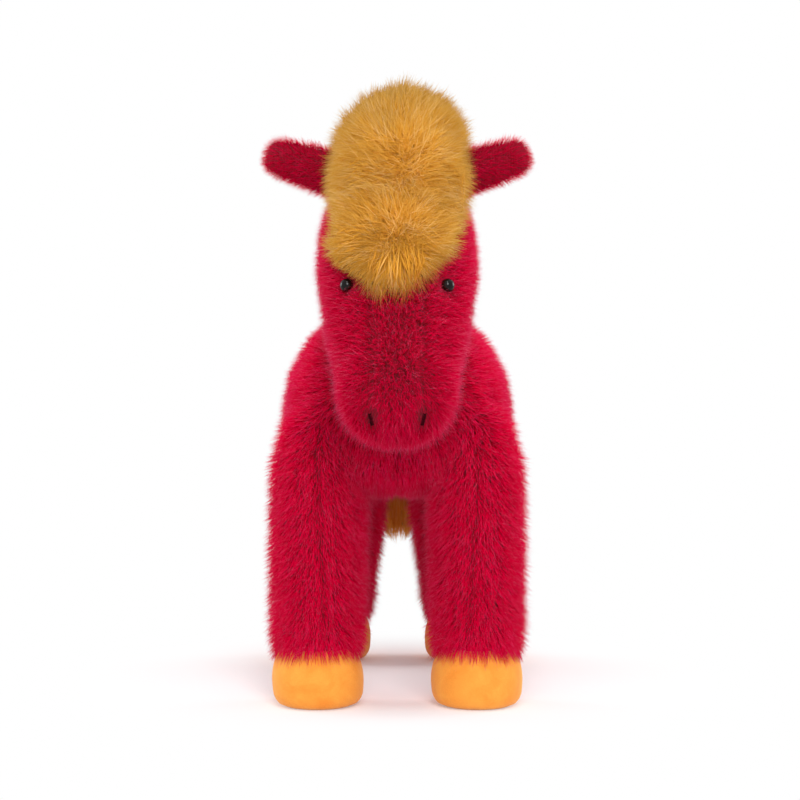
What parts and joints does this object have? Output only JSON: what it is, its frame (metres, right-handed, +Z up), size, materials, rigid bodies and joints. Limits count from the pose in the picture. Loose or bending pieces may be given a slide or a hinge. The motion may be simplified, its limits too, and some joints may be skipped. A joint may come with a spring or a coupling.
{
  "type": "plush horse",
  "caption": "Standing plush horse with a furry stuffed body, long-pile mane and tail, suedette hooves, and a neck, head, ears, tail and legs that swing at their seams.",
  "frame": {"origin": "on the floor, under the middle of the toy", "axes": "+Z up, the horse faces -Y, its left side is +X"},
  "size_m": [0.1218, 0.2855, 0.2879],
  "materials": {
    "crimson_fur": "crimson faux fur, short dense pile",
    "short_fur": "dark crimson short pile",
    "gold_pile": "gold faux fur, long loose pile",
    "hoof_suede": "orange-yellow suedette",
    "bead_eye": "gloss near-black bead",
    "nostril_thread": "dark red embroidery thread",
    "seam_thread": "crimson sewing thread",
    "fibre_filling": "white polyester fibre",
    "pellet_bag": "woven bag of plastic pellets",
    "washer": "natural plastic"
  },
  "bodies": {
    "torso": {"closing_stitch": "seam_thread", "torso_filling": "fibre_filling", "torso_side_left": "crimson_fur", "torso_side_right": "crimson_fur", "underbody_left": "crimson_fur", "underbody_right": "crimson_fur"},
    "neck": {"crest_mane": "gold_pile", "neck_cover_left": "crimson_fur", "neck_cover_right": "crimson_fur", "neck_filling": "fibre_filling"},
    "head": {"eye_left": "bead_eye", "eye_right": "bead_eye", "eye_washer_left": "washer", "eye_washer_right": "washer", "face_gusset": "crimson_fur", "forelock": "gold_pile", "head_filling": "fibre_filling", "head_side_left": "crimson_fur", "head_side_right": "crimson_fur", "nostril_stitch_left": "nostril_thread", "nostril_stitch_right": "nostril_thread"},
    "ear_left": {"ear_lining_left": "short_fur", "ear_outer_left": "crimson_fur"},
    "ear_right": {"ear_lining_right": "short_fur", "ear_outer_right": "crimson_fur"},
    "tail_dock": {"tail_dock": "crimson_fur"},
    "tail": {"tail_core": "gold_pile", "tail_pile": "gold_pile"},
    "leg_front_left": {"front_left_filling": "fibre_filling", "front_left_hoof_cup": "hoof_suede", "front_left_hoof_sole": "hoof_suede", "front_left_inner_panel": "crimson_fur", "front_left_outer_panel": "crimson_fur", "front_left_pellet_bag": "pellet_bag"},
    "leg_front_right": {"front_right_filling": "fibre_filling", "front_right_hoof_cup": "hoof_suede", "front_right_hoof_sole": "hoof_suede", "front_right_inner_panel": "crimson_fur", "front_right_outer_panel": "crimson_fur", "front_right_pellet_bag": "pellet_bag"},
    "leg_rear_left": {"rear_left_filling": "fibre_filling", "rear_left_hoof_cup": "hoof_suede", "rear_left_hoof_sole": "hoof_suede", "rear_left_inner_panel": "crimson_fur", "rear_left_outer_panel": "crimson_fur", "rear_left_pellet_bag": "pellet_bag"},
    "leg_rear_right": {"rear_right_filling": "fibre_filling", "rear_right_hoof_cup": "hoof_suede", "rear_right_hoof_sole": "hoof_suede", "rear_right_inner_panel": "crimson_fur", "rear_right_outer_panel": "crimson_fur", "rear_right_pellet_bag": "pellet_bag"}
  },
  "joints": [
    {"name": "neck_nod", "type": "hinge", "parent": "torso", "child": "neck", "pos_m": [0, -0.04, 0.172], "axis": [1, 0, 0], "range_deg": [-8, 7], "stiffness_Nm_per_rad": 1.2},
    {"name": "head_turn", "type": "hinge", "parent": "neck", "child": "head", "pos_m": [0, -0.052, 0.212], "axis": [0, 0, 1], "range_deg": [-12, 12], "stiffness_Nm_per_rad": 0.6},
    {"name": "ear_flop_left", "type": "hinge", "parent": "head", "child": "ear_left", "pos_m": [0.022, -0.058, 0.243], "axis": [0, -1, 0], "range_deg": [-15, 15], "stiffness_Nm_per_rad": 0.02},
    {"name": "ear_flop_right", "type": "hinge", "parent": "head", "child": "ear_right", "pos_m": [-0.022, -0.058, 0.243], "axis": [0, 1, 0], "range_deg": [-15, 15], "stiffness_Nm_per_rad": 0.02},
    {"name": "tail_lift", "type": "hinge", "parent": "torso", "child": "tail_dock", "pos_m": [0, 0.105, 0.162], "axis": [1, 0, 0], "range_deg": [0, 45]},
    {"name": "tail_sway", "type": "hinge", "parent": "tail_dock", "child": "tail", "pos_m": [0, 0.1176, 0.162], "axis": [0, 1, 0], "range_deg": [-20, 20]},
    {"name": "leg_swing_front_left", "type": "hinge", "parent": "torso", "child": "leg_front_left", "pos_m": [0, -0.056, 0.11], "axis": [1, 0, 0], "range_deg": [-12, 12], "stiffness_Nm_per_rad": 1.5},
    {"name": "leg_swing_front_right", "type": "hinge", "parent": "torso", "child": "leg_front_right", "pos_m": [0, -0.056, 0.11], "axis": [1, 0, 0], "range_deg": [-12, 12], "stiffness_Nm_per_rad": 1.5},
    {"name": "leg_swing_rear_left", "type": "hinge", "parent": "torso", "child": "leg_rear_left", "pos_m": [0, 0.09, 0.11], "axis": [1, 0, 0], "range_deg": [-10, 8], "stiffness_Nm_per_rad": 1.8},
    {"name": "leg_swing_rear_right", "type": "hinge", "parent": "torso", "child": "leg_rear_right", "pos_m": [0, 0.09, 0.11], "axis": [1, 0, 0], "range_deg": [-10, 8], "stiffness_Nm_per_rad": 1.8}
  ]
}
